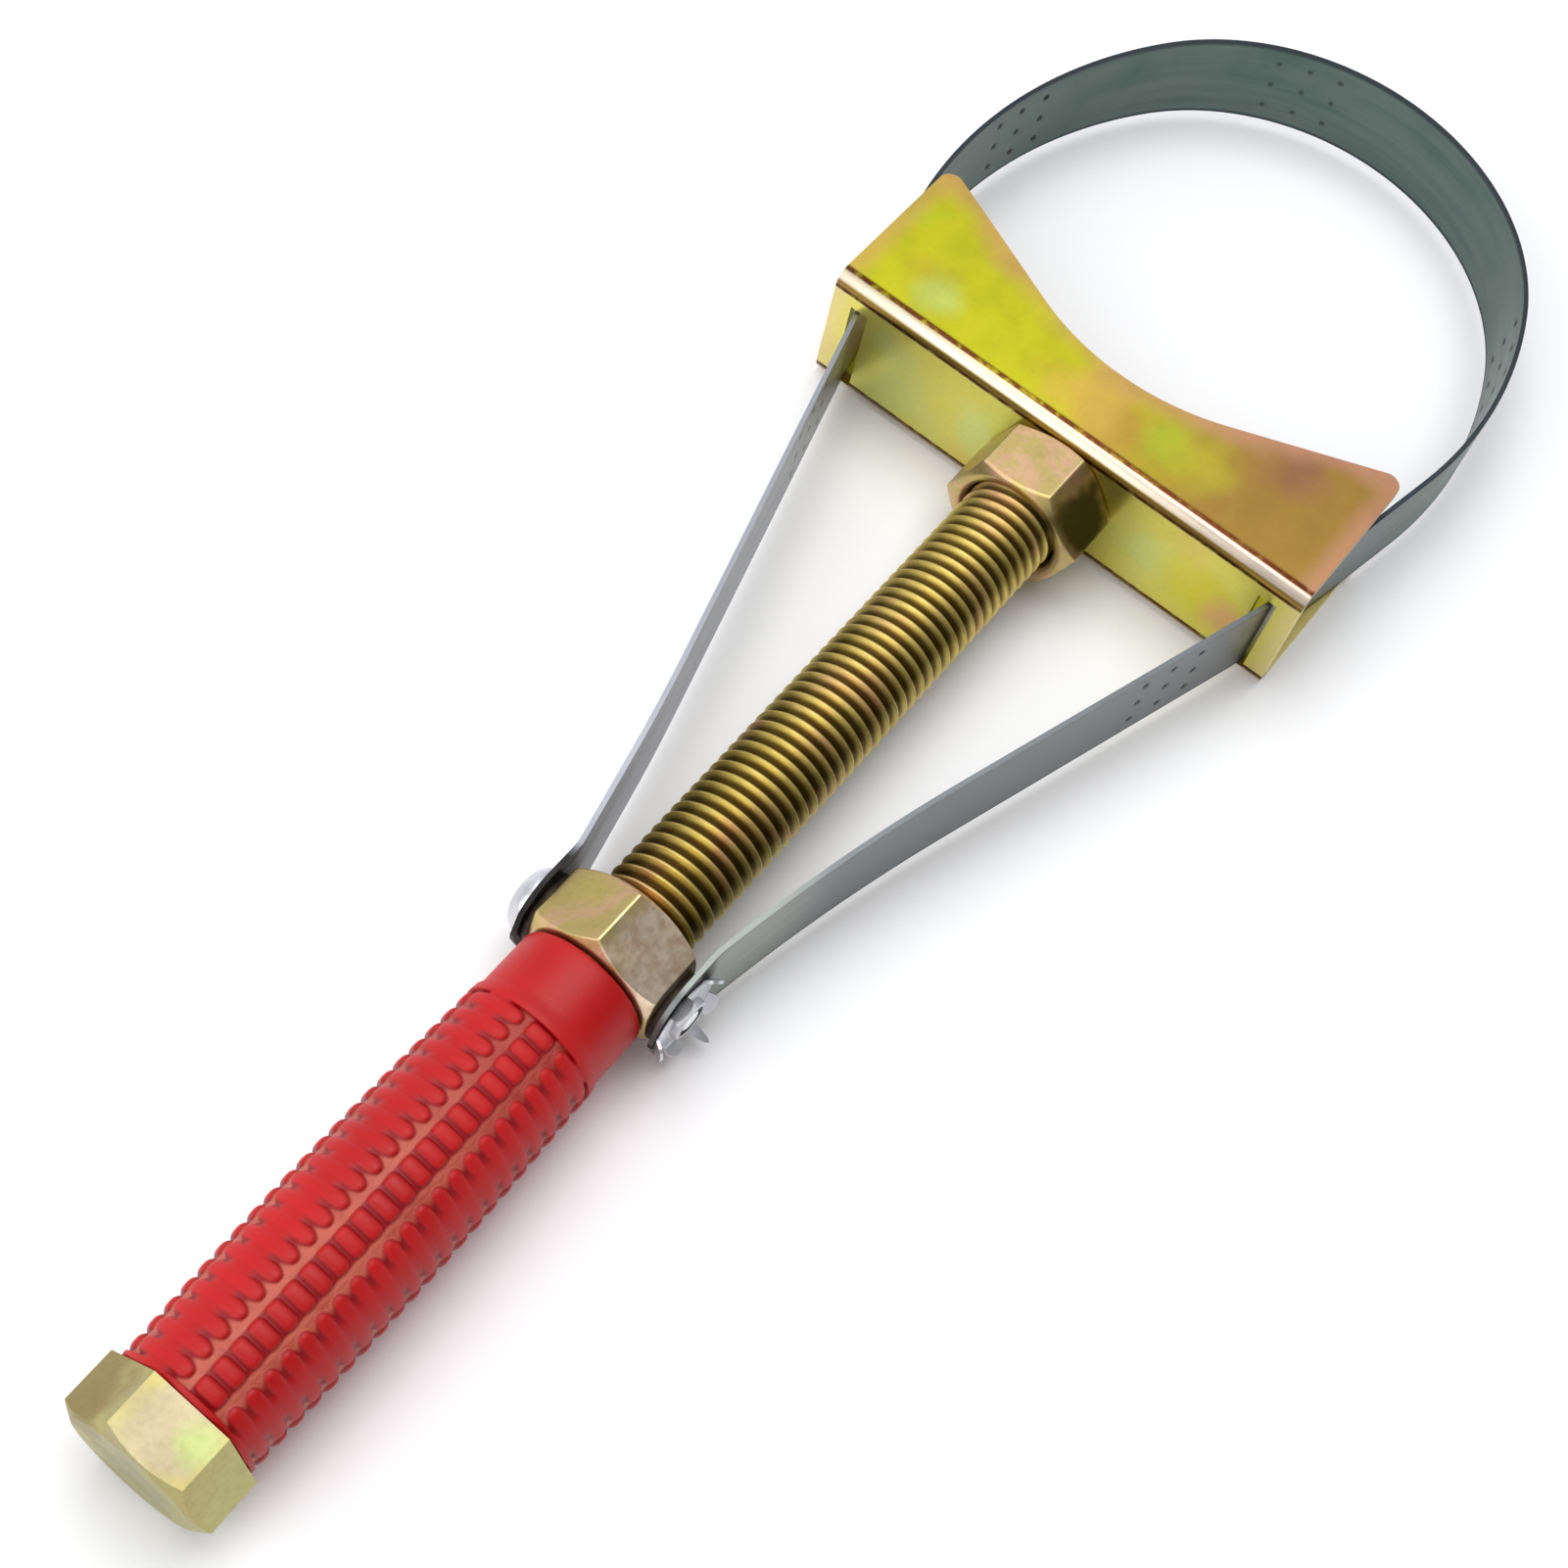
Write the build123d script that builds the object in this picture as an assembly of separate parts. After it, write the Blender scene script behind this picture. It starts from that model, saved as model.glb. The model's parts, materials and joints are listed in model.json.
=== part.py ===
from build123d import *
import math
import os

# Oil filter wrench with a steel band, millimetres.
#
# Design axes: X runs along the handle from the bolt head towards the band loop, Y across the
# saddle, Z square to the loop.  The design zero is the middle of the saddle web's rear face, on
# the bolt's axis.  place() then moves every piece so that the row origin is the middle of the
# footprint of the tool as it lies flat: X and Y at the centre of the bounding box, Z on the bench.

# ---- shared by all --------------------------------------------------------------------------
BEYOND = 5.0  # how far a cutter or a blank runs past the piece
NEAR = 0.1  # how close to a plane an edge or corner counts as being on it

# ---- thread and bolt ------------------------------------------------------------------------
THREAD_D = 18.0
THREAD_PITCH = 2.5
THREAD_ROOT_R = 7.45
CREST_R = THREAD_D / 2 - 0.05
CREST_FLAT = 0.45
ROOT_FLAT = 0.45
HEX_AF = 24.0
HEAD_HEIGHT = 10.5
HEAD_BEARING_X = -217.7
HEAD_BACK_X = HEAD_BEARING_X - HEAD_HEIGHT
HEAD_CORNER_DEG = 11.4
THREAD_START_X = -141.0
SHOULDER_X = -1.7
THREAD_END_X = SHOULDER_X - 2.5
TIP_R = 6.0
TIP_END_X = 6.6
TIP_GROOVE_R = 5.2
TIP_GROOVE_X = (3.7, 4.8)
TIP_CHAMFER = 0.6
THREAD_RUNOUT = 1.0
HEX_FACE_SHARE = 0.95
HEX_CHAMFER_DEG = 30.0

# ---- saddle ---------------------------------------------------------------------------------
SADDLE_LENGTH = 101.0
SADDLE_HEIGHT = 28.0
SADDLE_DEPTH = 36.0
SHEET = 2.0
BEND_OUTER_R = 3.0
JAW_BOTTOM_X = 17.6
JAW_R = 50.0
JAW_FLANK_DEG = 23.6
HORN_R = 2.5
SLOT_Y = 44.6
SLOT_WIDTH = 3.6
SLOT_HEIGHT = 20.2
PIVOT_CLEARANCE = 0.08

# ---- welded socket on the web ---------------------------------------------------------------
SOCKET_LENGTH = 13.5
SOCKET_BORE_R = 9.6
SOCKET_CORNER_DEG = 111.4
SOCKET_MOUTH_CHAMFER = 0.7

# ---- travelling nut -------------------------------------------------------------------------
NUT_BACK_X = -129.4
NUT_LENGTH = 13.0
NUT_FRONT_X = NUT_BACK_X + NUT_LENGTH
NUT_MID_X = NUT_BACK_X + NUT_LENGTH / 2
NUT_CORNER_DEG = 90.0
THREAD_CLEARANCE = 0.07
SCREW_R = 3.0
SCREW_CLEARANCE = 0.05

# ---- steel band -----------------------------------------------------------------------------
BAND_THICK = 0.8
BAND_WIDTH = 19.2
BAND_Z = -1.8
SPACER_THICK = 1.6
BAND_TAB_Y = HEX_AF / 2 + SPACER_THICK + BAND_THICK / 2
BAND_END_X = NUT_MID_X - 7.6
BAND_TAB_FRONT_X = NUT_MID_X + 8.2
BAND_END_CORNER_R = 9.0
TAB_BEND_R = 8.0
LEG_KNEE_X = -86.0
LEG_KNEE_Y = {1: 20.6, -1: 19.0}
LEG_KNEE_R = 380.0
BAND_SLOT_Y = 45.0
BAND_SPLIT_X = 1.0
BAND_SPLIT_GAP = 0.1
LOOP_TIP_CENTRE = (68.9, -1.7)
LOOP_TIP_R = 49.9
LOOP_SIDE_R = {1: 87.0, -1: 80.5}
LOOP_HALF_WIDTH = 54.14

# ---- grip -----------------------------------------------------------------------------------
GRIP_FRONT_X = -130.0
GRIP_COLLAR_LENGTH = 11.0
GRIP_BACK_X = HEAD_BEARING_X + 0.1
GRIP_COLLAR_R = 11.7
GRIP_SHOULDER_R = 12.2
GRIP_BELLY_R = 13.1
GRIP_BACK_R = 12.4
GRIP_STEP_LENGTH = 1.0
GRIP_BORE_R = THREAD_D / 2

# ---- band fasteners -------------------------------------------------------------------------
SPACER_R = 6.25
SPACER_BORE_R = 3.2
DOME_R = 6.0
DOME_SKIRT = 0.5
DOME_HEIGHT = 4.2
BUTTON_R = 3.8
BUTTON_HEIGHT = 1.4
BUTTON_RIM = 1.0
BUTTON_EDGE = 0.4
BUTTON_GROOVE_DEPTH = 0.9
BUTTON_BOSS_R = 1.6
SCREW_REACH = 2.6
PETAL_THICK = 0.6
PETAL_DISC_R = 7.0
PETAL_ROOT_R = 4.4
PETAL_COUNT = 5
PETAL_LENGTH = 4.4
PETAL_WIDTH = 3.2
PETAL_CORNER_R = 1.4
PETAL_LIFT_DEG = 45.0

# ---- washers and ring on the bolt's tip -------------------------------------------------------
THRUST_WASHER_X = (SHOULDER_X + 0.05, -0.05)
RETAINING_WASHER_X = (SHEET + 0.1, SHEET + 1.6)
TIP_WASHER_BORE_R = TIP_R + PIVOT_CLEARANCE
RETAINING_WASHER_R = 11.0
THRUST_WASHER_R = 9.2
RING_THICK = 0.9
RING_OUTER_R = 8.2
RING_CLEARANCE = 0.05
RING_GAP_DEG = 70.0

BAND_X_MAX = LOOP_TIP_CENTRE[0] + LOOP_TIP_R + BAND_THICK / 2
ROW_SHIFT = Vector(-(HEAD_BACK_X + BAND_X_MAX) / 2, 0, SADDLE_HEIGHT / 2)


def place(shape):
    """Moves a piece from the design axes to the row frame."""
    return Pos(ROW_SHIFT) * shape


def turned(points, axis=Axis.X):
    """A solid of revolution from a closed outline in the XY plane."""
    return revolve(make_face(Polyline(points, close=True)), axis=axis)


def ring_on_x(x_range, inner_r, outer_r):
    """A plain washer round the bolt's axis."""
    low, high = x_range
    return turned([(low, inner_r), (high, inner_r), (high, outer_r), (low, outer_r)])


def ring_on_y(y_range, inner_r, outer_r):
    """A plain washer turned about Y."""
    low, high = y_range
    return turned([(inner_r, low), (outer_r, low), (outer_r, high), (inner_r, high)], Axis.Y)


def on_side(shape, x, side):
    """Moves a piece turned about Y to a band screw's place, facing outwards on that side."""
    if side < 0:
        shape = Rot(Z=180) * shape
    return Pos(x, 0, BAND_Z) * shape


def hex_along_x(x_range, corner_deg, chamfer_back, chamfer_front):
    """A hexagon bar across HEX_AF, with a corner at corner_deg from +Y towards +Z, and with the
    round 30 degree chamfers of a nut or bolt head on the chosen ends."""
    low, high = x_range
    corner_r = HEX_AF / math.sqrt(3)
    face_r = HEX_AF / 2 * HEX_FACE_SHARE
    outer_r = corner_r + NEAR
    run = (outer_r - face_r) * math.tan(math.radians(HEX_CHAMFER_DEG))
    outline = [(low, 0)]
    outline += [(low, face_r), (low + run, outer_r)] if chamfer_back else [(low, outer_r)]
    outline += [(high - run, outer_r), (high, face_r)] if chamfer_front else [(high, outer_r)]
    outline += [(high, 0)]
    corners = []
    for k in range(6):
        angle = math.radians(corner_deg + 60 * k)
        corners.append((low, corner_r * math.cos(angle), corner_r * math.sin(angle)))
    face = make_face(Polyline(corners, close=True))
    bar = extrude(face, amount=high - low, dir=(1, 0, 0))
    return bar & turned(outline)


def round_bar_on_x(x_range, radius):
    """A plain round cutter along the bolt's axis."""
    low, high = x_range
    return turned([(low, 0), (high, 0), (high, radius), (low, radius)])


# ---- saddle group ---------------------------------------------------------------------------
def saddle_plan():
    """The saddle seen along Z: web at the rear, and a V jaw with a round bottom at the front."""
    half = SADDLE_LENGTH / 2
    flank = math.radians(JAW_FLANK_DEG)
    join_y = JAW_R * math.sin(flank)
    join_x = JAW_BOTTOM_X + JAW_R * (1 - math.cos(flank))
    horn_x = join_x + (half - join_y) * math.tan(flank)
    edge = [
        Line((0, -half), (0, half)),
        Line((0, half), (horn_x, half)),
        Line((horn_x, half), (join_x, join_y)),
        ThreePointArc((join_x, join_y), (JAW_BOTTOM_X, 0), (join_x, -join_y)),
        Line((join_x, -join_y), (horn_x, -half)),
        Line((horn_x, -half), (0, -half)),
    ]
    plan = make_face(edge)
    horns = [v for v in plan.vertices() if v.X > horn_x - NEAR]
    return fillet(horns, HORN_R)


def bent_outline(inset, bend_r):
    """The region inside the folded sheet's outer face, or inside a line parallel to it."""
    high = SADDLE_HEIGHT / 2 - inset
    reach = SADDLE_DEPTH + BEYOND
    outline = Polyline((reach, high), (inset, high), (inset, -high), (reach, -high), close=True)
    face = make_face(outline)
    corners = [v for v in face.vertices() if v.X < inset + NEAR]
    return fillet(corners, bend_r)


def saddle_section():
    """The folded sheet's U section, open towards +X, as long as the saddle and more."""
    section = bent_outline(0, BEND_OUTER_R) - bent_outline(SHEET, BEND_OUTER_R - SHEET)
    return extrude(Plane.XZ * section, amount=SADDLE_LENGTH / 2 + BEYOND, both=True)


def make_saddle_channel():
    """Folded sheet channel with a strap slot near each end and the pivot hole in the middle."""
    plan = extrude(saddle_plan(), amount=SADDLE_HEIGHT, both=True)
    saddle = saddle_section() & plan
    for side in (1, -1):
        slot = Box(4 * SHEET, SLOT_WIDTH, SLOT_HEIGHT)
        saddle -= Pos(0, side * SLOT_Y, BAND_Z) * slot
    return saddle - round_bar_on_x((-BEYOND, SHEET + BEYOND), TIP_WASHER_BORE_R)


def make_socket_hex():
    """Drilled-out hexagon that is welded to the web and guides the end of the thread."""
    mouth = SOCKET_BORE_R + SOCKET_MOUTH_CHAMFER
    bore = turned(
        [
            (-SOCKET_LENGTH - SOCKET_MOUTH_CHAMFER, 0),
            (-SOCKET_LENGTH - SOCKET_MOUTH_CHAMFER, mouth + SOCKET_MOUTH_CHAMFER),
            (-SOCKET_LENGTH + SOCKET_MOUTH_CHAMFER, SOCKET_BORE_R),
            (BEYOND, SOCKET_BORE_R),
            (BEYOND, 0),
        ]
    )
    return hex_along_x((-SOCKET_LENGTH, 0), SOCKET_CORNER_DEG, True, True) - bore


# ---- handle group ---------------------------------------------------------------------------
def thread_outline():
    """Crest and root points of the rolled thread, from the shank to the shoulder."""
    flank = (THREAD_PITCH - CREST_FLAT - ROOT_FLAT) / 2
    turns = int((THREAD_END_X - THREAD_START_X) / THREAD_PITCH)
    points = []
    for k in range(turns):
        x = THREAD_START_X + k * THREAD_PITCH
        points += [(x, CREST_R), (x + flank, THREAD_ROOT_R), (x + flank + ROOT_FLAT, THREAD_ROOT_R)]
        points += [(x + 2 * flank + ROOT_FLAT, CREST_R)]
    return points


def make_handle_bolt():
    """Long hexagon bolt: head, shank under the grip, thread, and a turned tip with a ring groove."""
    groove_low, groove_high = TIP_GROOVE_X
    inside_head = HEAD_BEARING_X - HEAD_HEIGHT / 2
    outline = [(inside_head, 0), (inside_head, CREST_R)]
    outline += thread_outline()
    outline += [(THREAD_END_X + THREAD_RUNOUT, CREST_R), (SHOULDER_X, THREAD_ROOT_R), (SHOULDER_X, TIP_R)]
    outline += [(groove_low, TIP_R), (groove_low, TIP_GROOVE_R)]
    outline += [(groove_high, TIP_GROOVE_R), (groove_high, TIP_R)]
    outline += [(TIP_END_X - TIP_CHAMFER, TIP_R), (TIP_END_X, TIP_R - TIP_CHAMFER), (TIP_END_X, 0)]
    head = hex_along_x((HEAD_BACK_X, HEAD_BEARING_X), HEAD_CORNER_DEG, True, False)
    return head + turned(outline)


def make_grip_sleeve():
    """Barrel-shaped moulded sleeve over the shank, with a smooth collar at the front."""
    collar_x = GRIP_FRONT_X - GRIP_COLLAR_LENGTH
    shoulder = (collar_x - GRIP_STEP_LENGTH, GRIP_SHOULDER_R)
    belly = ((collar_x + GRIP_BACK_X) / 2, GRIP_BELLY_R)
    edge = [
        Line((GRIP_BACK_X, GRIP_BORE_R), (GRIP_FRONT_X, GRIP_BORE_R)),
        Line((GRIP_FRONT_X, GRIP_BORE_R), (GRIP_FRONT_X, GRIP_COLLAR_R)),
        Line((GRIP_FRONT_X, GRIP_COLLAR_R), (collar_x, GRIP_COLLAR_R)),
        Line((collar_x, GRIP_COLLAR_R), shoulder),
        ThreePointArc(shoulder, belly, (GRIP_BACK_X, GRIP_BACK_R)),
        Line((GRIP_BACK_X, GRIP_BACK_R), (GRIP_BACK_X, GRIP_BORE_R)),
    ]
    return revolve(make_face(edge), axis=Axis.X)


def make_retaining_ring():
    """Open spring ring in the groove at the bolt's tip."""
    middle = sum(TIP_GROOVE_X) / 2
    low = middle - RING_THICK / 2
    ring = ring_on_x((low, low + RING_THICK), TIP_GROOVE_R + RING_CLEARANCE, RING_OUTER_R)
    half_gap = math.radians(RING_GAP_DEG / 2)
    side = 2 * RING_OUTER_R * math.sin(half_gap)
    down = 2 * RING_OUTER_R * math.cos(half_gap)
    corners = [(low, 0, 0), (low, side, -down), (low, -side, -down)]
    wedge = make_face(Polyline(corners, close=True))
    return ring - extrude(wedge, amount=RING_THICK, dir=(1, 0, 0))


# ---- nut group ------------------------------------------------------------------------------
def make_travelling_nut():
    """Hexagon nut whose two side flats carry the band ends on tapped holes."""
    nut = hex_along_x((NUT_BACK_X, NUT_FRONT_X), NUT_CORNER_DEG, True, True)
    through = (NUT_BACK_X - BEYOND, NUT_FRONT_X + BEYOND)
    nut -= round_bar_on_x(through, CREST_R + THREAD_CLEARANCE)
    hole = turned([(0, -HEX_AF), (SCREW_R, -HEX_AF), (SCREW_R, HEX_AF), (0, HEX_AF)], Axis.Y)
    return nut - on_side(hole, NUT_MID_X, 1)


def screw_shank(head_y):
    """The threaded part of a band screw, from inside the nut's wall to the head."""
    radius = SCREW_R - SCREW_CLEARANCE
    low = HEX_AF / 2 - SCREW_REACH
    return turned([(0, low), (radius, low), (radius, head_y), (0, head_y)], Axis.Y)


def make_dome_screw(head_y, side):
    """Screw with a smooth round head."""
    rise = DOME_HEIGHT - DOME_SKIRT
    ball_r = (DOME_R**2 + rise**2) / (2 * rise)
    top = head_y + DOME_HEIGHT
    half_angle = math.asin(DOME_R / ball_r) / 2
    middle = (ball_r * math.sin(half_angle), top - ball_r * (1 - math.cos(half_angle)))
    edge = [
        Line((0, head_y), (DOME_R, head_y)),
        Line((DOME_R, head_y), (DOME_R, head_y + DOME_SKIRT)),
        ThreePointArc((DOME_R, head_y + DOME_SKIRT), middle, (0, top)),
        Line((0, top), (0, head_y)),
    ]
    head = revolve(make_face(edge), axis=Axis.Y)
    return on_side(screw_shank(head_y) + head, NUT_MID_X, side)


def make_button_screw(head_y, side):
    """Screw with a small button head, which has a ring groove round a raised middle."""
    top = head_y + BUTTON_HEIGHT
    rim = BUTTON_R - BUTTON_RIM
    floor = top - BUTTON_GROOVE_DEPTH
    points = [(0, head_y), (BUTTON_R, head_y)]
    points += [(BUTTON_R, top - BUTTON_EDGE), (BUTTON_R - BUTTON_EDGE, top)]
    points += [(rim, top), (rim, floor), (BUTTON_BOSS_R, floor), (BUTTON_BOSS_R, top), (0, top)]
    return on_side(screw_shank(head_y) + turned(points, Axis.Y), NUT_MID_X, side)


def make_petal_washer(base_y, side):
    """Lock washer whose tabs stand outwards round the screw head."""
    washer = ring_on_y((base_y, base_y + PETAL_THICK), SPACER_BORE_R, PETAL_DISC_R)
    for k in range(PETAL_COUNT):
        tab = Pos(PETAL_LENGTH / 2, PETAL_THICK / 2, 0) * Box(PETAL_LENGTH, PETAL_THICK, PETAL_WIDTH)
        tips = tab.edges().filter_by(Axis.Y).group_by(Axis.X)[-1]
        tab = fillet(tips, PETAL_CORNER_R)
        tab = Pos(PETAL_ROOT_R, base_y, 0) * Rot(Z=PETAL_LIFT_DEG) * tab
        washer += Rot(Y=360 / PETAL_COUNT * k) * tab
    across = 4 * PETAL_DISC_R
    below = Pos(0, base_y - PETAL_LENGTH, 0) * Box(across, 2 * PETAL_LENGTH, across)
    return on_side(washer - below, NUT_MID_X, side)


# ---- band -----------------------------------------------------------------------------------
def tip_angle(side):
    """Degrees from +X to where the tip arc meets a side arc, so the loop is as wide as wanted."""
    rise = LOOP_SIDE_R[side] + side * LOOP_TIP_CENTRE[1] - LOOP_HALF_WIDTH
    return side * math.degrees(math.asin(rise / (LOOP_SIDE_R[side] - LOOP_TIP_R)))


def side_arc_centre(side):
    """Centre of the flatter arc on one side of the loop."""
    angle = math.radians(tip_angle(side))
    offset = LOOP_TIP_R - LOOP_SIDE_R[side]
    return Vector(*LOOP_TIP_CENTRE) + Vector(math.cos(angle), math.sin(angle)) * offset


def side_tangent_point(side):
    """Where the straight run from the slot meets the flatter arc."""
    centre = side_arc_centre(side)
    slot = Vector(0, side * BAND_SLOT_Y)
    reach = (slot - centre).length
    to_slot = math.atan2(slot.Y - centre.Y, slot.X - centre.X)
    angle = to_slot - side * math.acos(LOOP_SIDE_R[side] / reach)
    return centre + Vector(math.cos(angle), math.sin(angle)) * LOOP_SIDE_R[side]


def on_arc(centre, radius, degrees):
    """A point of an arc in plan."""
    angle = math.radians(degrees)
    return centre + Vector(math.cos(angle), math.sin(angle)) * radius


def side_run(side):
    """Straight run and flatter arc on one side, from the slot's mouth to the loop's tip arc."""
    centre = side_arc_centre(side)
    radius = LOOP_SIDE_R[side]
    touch = side_tangent_point(side)
    start = Vector(0, side * BAND_SLOT_Y)
    start += (touch - start) * (BAND_SPLIT_X / touch.X)
    first = math.degrees(math.atan2(touch.Y - centre.Y, touch.X - centre.X))
    last = tip_angle(side)
    arc = ThreePointArc(touch, on_arc(centre, radius, (first + last) / 2), on_arc(centre, radius, last))
    return [Line(start, touch), arc]


def band_solid(edges):
    """A flat band standing on edge along a plan line."""
    outline = trace(edges, BAND_THICK)
    return Pos(0, 0, BAND_Z) * extrude(outline, amount=BAND_WIDTH / 2, both=True)


def make_band_leg(side):
    """One leg of the band, with a rounded end and the screw hole on the nut's flat."""
    end_x = BAND_SPLIT_X - BAND_SPLIT_GAP
    slope = (BAND_SLOT_Y - LEG_KNEE_Y[side]) / -LEG_KNEE_X
    points = [
        (BAND_END_X, BAND_TAB_Y),
        (BAND_TAB_FRONT_X, BAND_TAB_Y),
        (LEG_KNEE_X, LEG_KNEE_Y[side]),
        (end_x, BAND_SLOT_Y + slope * end_x),
    ]
    path = Polyline([(x, side * y) for x, y in points])
    bends = path.vertices()[1:-1]
    path = fillet(bends[1:], LEG_KNEE_R)
    path = fillet([v for v in path.vertices() if abs(v.X - BAND_TAB_FRONT_X) < NEAR], TAB_BEND_R)
    leg = band_solid(path)
    corners = leg.edges().filter_by(Axis.Y).group_by(Axis.X)[0]
    leg = fillet(corners, BAND_END_CORNER_R)
    hole_r = SPACER_BORE_R
    hole = turned([(0, 0), (hole_r, 0), (hole_r, HEX_AF), (0, HEX_AF)], Axis.Y)
    return leg - on_side(hole, NUT_MID_X, side)


def make_band_loop():
    """The loop of the band, from the mouth of one slot round the filter to the other."""
    tip_centre = Vector(*LOOP_TIP_CENTRE)
    tip = ThreePointArc(
        on_arc(tip_centre, LOOP_TIP_R, tip_angle(1)),
        on_arc(tip_centre, LOOP_TIP_R, 0),
        on_arc(tip_centre, LOOP_TIP_R, tip_angle(-1)),
    )
    return band_solid(Wire(side_run(1) + [tip] + side_run(-1)))


def make_all():
    """Every sub-part by node name, in the design axes."""
    flat = HEX_AF / 2
    spacer = (flat, flat + SPACER_THICK)
    band_face = flat + SPACER_THICK + BAND_THICK
    return {
        "saddle_channel": make_saddle_channel(),
        "socket_hex": make_socket_hex(),
        "handle_bolt": make_handle_bolt(),
        "grip_sleeve": make_grip_sleeve(),
        "thrust_washer": ring_on_x(THRUST_WASHER_X, TIP_WASHER_BORE_R, THRUST_WASHER_R),
        "retaining_washer": ring_on_x(RETAINING_WASHER_X, TIP_WASHER_BORE_R, RETAINING_WASHER_R),
        "retaining_ring": make_retaining_ring(),
        "travelling_nut": make_travelling_nut(),
        "band_leg_left": make_band_leg(1),
        "band_leg_right": make_band_leg(-1),
        "band_loop": make_band_loop(),
        "band_spacer_left": on_side(ring_on_y(spacer, SPACER_BORE_R, SPACER_R), NUT_MID_X, 1),
        "band_spacer_right": on_side(ring_on_y(spacer, SPACER_BORE_R, SPACER_R), NUT_MID_X, -1),
        "tab_lock_washer": make_petal_washer(band_face, -1),
        "band_screw_left": make_dome_screw(band_face, 1),
        "band_screw_right": make_button_screw(band_face + PETAL_THICK, -1),
    }


os.makedirs("parts", exist_ok=True)
for node, shape in make_all().items():
    export_step(place(shape), f"parts/{node}.step")
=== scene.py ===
import json
import math

import bmesh
import bpy
from mathutils import Matrix, Vector


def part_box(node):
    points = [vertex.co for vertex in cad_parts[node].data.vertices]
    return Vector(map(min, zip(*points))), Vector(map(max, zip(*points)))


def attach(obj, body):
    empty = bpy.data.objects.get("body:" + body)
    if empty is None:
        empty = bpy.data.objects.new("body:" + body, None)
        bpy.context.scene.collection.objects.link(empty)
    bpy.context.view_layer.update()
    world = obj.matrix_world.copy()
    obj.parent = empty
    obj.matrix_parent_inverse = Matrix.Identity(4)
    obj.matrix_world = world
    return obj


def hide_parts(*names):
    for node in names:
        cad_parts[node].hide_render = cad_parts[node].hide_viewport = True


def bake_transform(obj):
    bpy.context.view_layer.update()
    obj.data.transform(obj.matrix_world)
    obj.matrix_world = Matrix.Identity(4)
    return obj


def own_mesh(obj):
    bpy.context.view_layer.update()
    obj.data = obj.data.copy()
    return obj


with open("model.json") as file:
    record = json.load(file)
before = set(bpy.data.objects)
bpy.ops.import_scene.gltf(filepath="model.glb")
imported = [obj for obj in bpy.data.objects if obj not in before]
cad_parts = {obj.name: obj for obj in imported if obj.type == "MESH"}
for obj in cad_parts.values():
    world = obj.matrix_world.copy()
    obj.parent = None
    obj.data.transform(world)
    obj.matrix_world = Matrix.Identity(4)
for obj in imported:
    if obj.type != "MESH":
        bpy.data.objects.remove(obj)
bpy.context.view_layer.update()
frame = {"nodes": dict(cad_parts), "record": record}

# Lengths in this script are millimetres in the design axes: X along the handle from the bolt head
# towards the loop, zero at the rear face of the saddle's web; Y across; Z up, zero on the bolt.
# TO_ROW takes them to the row frame in metres.

MM = 0.001
bolt_low, bolt_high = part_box("handle_bolt")
ZERO = Vector((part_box("saddle_channel")[0].x, 0, (bolt_low.z + bolt_high.z) / 2))
TO_ROW = Matrix.Translation(ZERO) @ Matrix.Scale(MM, 4)


def design_box(node):
    """A CAD node's box in the design axes."""
    low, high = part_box(node)
    return (low - ZERO) / MM, (high - ZERO) / MM


# ---- hexagons ------------------------------------------------------------------------------------
HEX_AF = 24.0
HEX_CHAMFER = math.tan(math.radians(30))
HEX_FACE_SHARE = 0.95  # the end face's radius over the flats' radius
SIDE_STEPS = 12  # profiles round each side of the hexagon
BORE_MOUTH = 0.6  # chamfer where a bore opens
HEAD_CORNER_DEG = 11.4
HEAD_HEIGHT = 10.5
NUT_CORNER_DEG = 90.0
NUT_BORE_R = 9.02
SOCKET_CORNER_DEG = 111.4
SOCKET_BORE_R = 9.6

# ---- bolt ----------------------------------------------------------------------------------------
SHANK_R = 8.95
THREAD_PITCH = 2.5
THREAD_CREST_R = 8.95
THREAD_ROOT_R = 7.45
# one turn of the thread: share of the pitch, and share of the depth over the root
THREAD_PROFILE = ((0.0, 0.96), (0.06, 1.0), (0.16, 0.96), (0.50, 0.1), (0.58, 0.0), (0.66, 0.1))
THREAD_START = -141.0
THREAD_END = -3.2
TURN_STEPS = 56  # profiles in one turn
CORE_R = 7.4
SHOULDER_X = -1.7
TIP_R = 6.0
TIP_GROOVE_R = 5.2
TIP_GROOVE_X = (3.7, 4.8)
TIP_CHAMFER = 0.6

# ---- grip ----------------------------------------------------------------------------------------
GRIP_BORE_R = 9.0
GRIP_LIP = 0.7  # chamfer of the front end
GRIP_COLLAR_R = 11.7
GRIP_COLLAR_LENGTH = 11.0
GRIP_STEP_LENGTH = 1.2  # from the collar up to the barrel
GRIP_SHOULDER_R = 12.2
GRIP_BACK_R = 12.4
GRIP_BELLY = 0.8  # how far the barrel bulges over a straight line
STUD_COUNT = 21
STUD_PITCH = 3.475
STUD_DEPTH = 0.72
STUD_GAP = 0.24
STUD_CORNER_R = 1.3
STUD_DOME = 1.25  # distance in from a stud's edge at which it is at full height
STUD_ROW_DEG = 105.0  # the first of four rows; a toothed rib lies between each two
ROW_HALF_DEG = 12.6  # from a row's middle to the sides of its studs
ROW_LINE_DEG = 14.4  # from a row's middle to the thin line beside it
TOOTH_TIP_DEG = 16.0  # from a row's middle to the tips of the next rib's teeth
TOOTH_ROUND = 2.2  # length of a tooth's rounded tip
LINE_FLOOR = 0.08  # height share of the thin lines beside a row
RIB_GROOVE = 0.72  # height share left at the bottom of the grooves across a rib
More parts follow.
